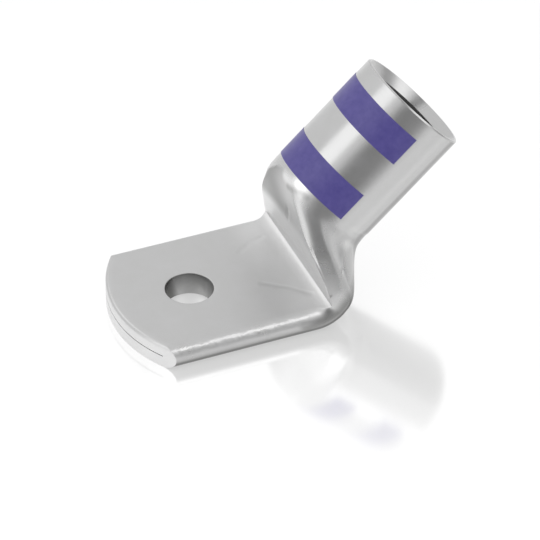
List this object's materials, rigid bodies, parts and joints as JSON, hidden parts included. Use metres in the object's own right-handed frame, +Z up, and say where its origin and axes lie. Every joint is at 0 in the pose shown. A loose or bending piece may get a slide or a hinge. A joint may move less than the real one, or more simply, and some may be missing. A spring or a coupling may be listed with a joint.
{
  "type": "cable lug",
  "caption": "Bent compression cable lug: round wire barrel with colour-code bands, pressed flat to a tongue with a stud hole, the barrel rising at an angle.",
  "frame": {"origin": "axis of the stud hole, on the underside of the tongue", "axes": "+Z up out of the tongue along the stud hole, +X from the hole towards the barrel, +Y across the tongue"},
  "size_m": [0.0541, 0.0264, 0.0352],
  "materials": {
    "tinned_copper": "satin",
    "purple_ink": "satin"
  },
  "bodies": {
    "root": {"lug_body": "tinned_copper", "colour_band_lower": "purple_ink", "colour_band_upper": "purple_ink"}
  },
  "joints": []
}
